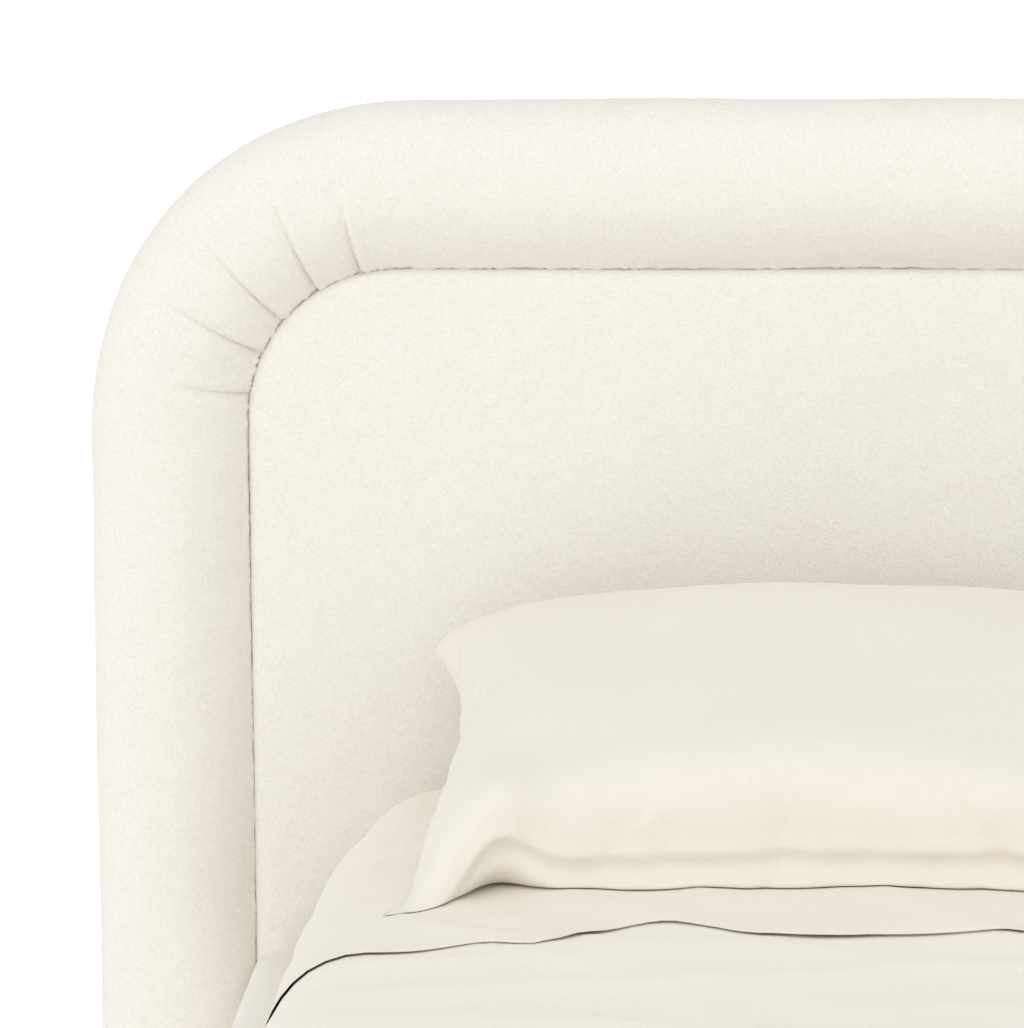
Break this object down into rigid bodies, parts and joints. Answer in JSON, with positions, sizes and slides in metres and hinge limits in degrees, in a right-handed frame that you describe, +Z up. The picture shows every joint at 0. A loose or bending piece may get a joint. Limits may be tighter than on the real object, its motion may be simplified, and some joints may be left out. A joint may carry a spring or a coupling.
{
  "type": "upholstered headboard bed",
  "caption": "Padded bed with a rounded, bordered headboard in looped fabric, padded rails, a slatted base, a mattress and linen bedding with pillows that lift off.",
  "frame": {"origin": "on the floor, under the centre of the bed's bounding box", "axes": "+X to the right seen from the foot end, +Y towards the headboard, +Z up"},
  "size_m": [1.95, 2.193, 1.27],
  "materials": {
    "boucle": "matte",
    "linen": "matte",
    "ticking": "matte",
    "lining": "matte",
    "foam": "matte",
    "timber": "satin",
    "plywood": "satin",
    "oak": "satin",
    "steel": "satin",
    "plastic": "matte"
  },
  "bodies": {
    "frame": {"headboard_post_left": "timber", "headboard_post_right": "timber", "headboard_top_rail": "timber", "headboard_middle_rail": "timber", "headboard_bottom_rail": "timber", "headboard_glide_left": "plastic", "headboard_glide_right": "plastic", "headboard_carrier_board": "plywood", "panel_board": "plywood", "headboard_back_cover": "lining", "panel_foam": "foam", "border_foam_top": "foam", "border_foam_corner_left": "foam", "border_foam_corner_right": "foam", "border_foam_left": "foam", "border_foam_right": "foam", "panel_cover": "boucle", "border_cover": "boucle", "side_rail_left_cover": "boucle", "side_rail_right_cover": "boucle", "foot_rail_cover": "boucle", "side_rail_left_board": "timber", "side_rail_right_board": "timber", "foot_rail_board": "timber", "slat_cleat_left": "timber", "slat_cleat_right": "timber", "foot_corner_block_left": "timber", "foot_corner_block_right": "timber", "centre_beam": "timber", "centre_leg_head": "timber", "centre_leg_foot": "timber", "slat_01": "timber", "slat_02": "timber", "slat_03": "timber", "slat_04": "timber", "slat_05": "timber", "slat_06": "timber", "slat_07": "timber", "slat_08": "timber", "slat_09": "timber", "slat_10": "timber", "side_rail_left_foam": "foam", "side_rail_right_foam": "foam", "foot_rail_foam": "foam", "rail_bracket_left": "steel", "rail_bracket_right": "steel", "rail_bolt_left_lower": "steel", "rail_bolt_left_upper": "steel", "rail_bolt_right_lower": "steel", "rail_bolt_right_upper": "steel", "foot_left": "oak", "foot_right": "oak"},
    "mattress": {"mattress": "ticking", "fitted_sheet": "linen"},
    "bedding": {"duvet": "linen", "turned_sheet": "linen"},
    "pillow_left": {"pillow_left": "linen"},
    "pillow_right": {"pillow_right": "linen"},
    "leveller_head": {"leveller_head": "plastic"},
    "leveller_foot": {"leveller_foot": "plastic"}
  },
  "joints": [
    {"name": "mattress_lift", "type": "slide", "parent": "frame", "child": "mattress", "axis": [0, 0, 1], "range_m": [0, 0.25]},
    {"name": "bedding_lift", "type": "slide", "parent": "mattress", "child": "bedding", "axis": [0, 0, 1], "range_m": [0, 0.2]},
    {"name": "pillow_left_lift", "type": "slide", "parent": "bedding", "child": "pillow_left", "axis": [0, -0.5, 0.866], "range_m": [0, 0.25]},
    {"name": "pillow_right_lift", "type": "slide", "parent": "bedding", "child": "pillow_right", "axis": [0, -0.5, 0.866], "range_m": [0, 0.25]},
    {"name": "leveller_head_screw", "type": "slide", "parent": "frame", "child": "leveller_head", "axis": [0, 0, -1], "range_m": [0, 0.02]},
    {"name": "leveller_foot_screw", "type": "slide", "parent": "frame", "child": "leveller_foot", "axis": [0, 0, -1], "range_m": [0, 0.02]}
  ]
}
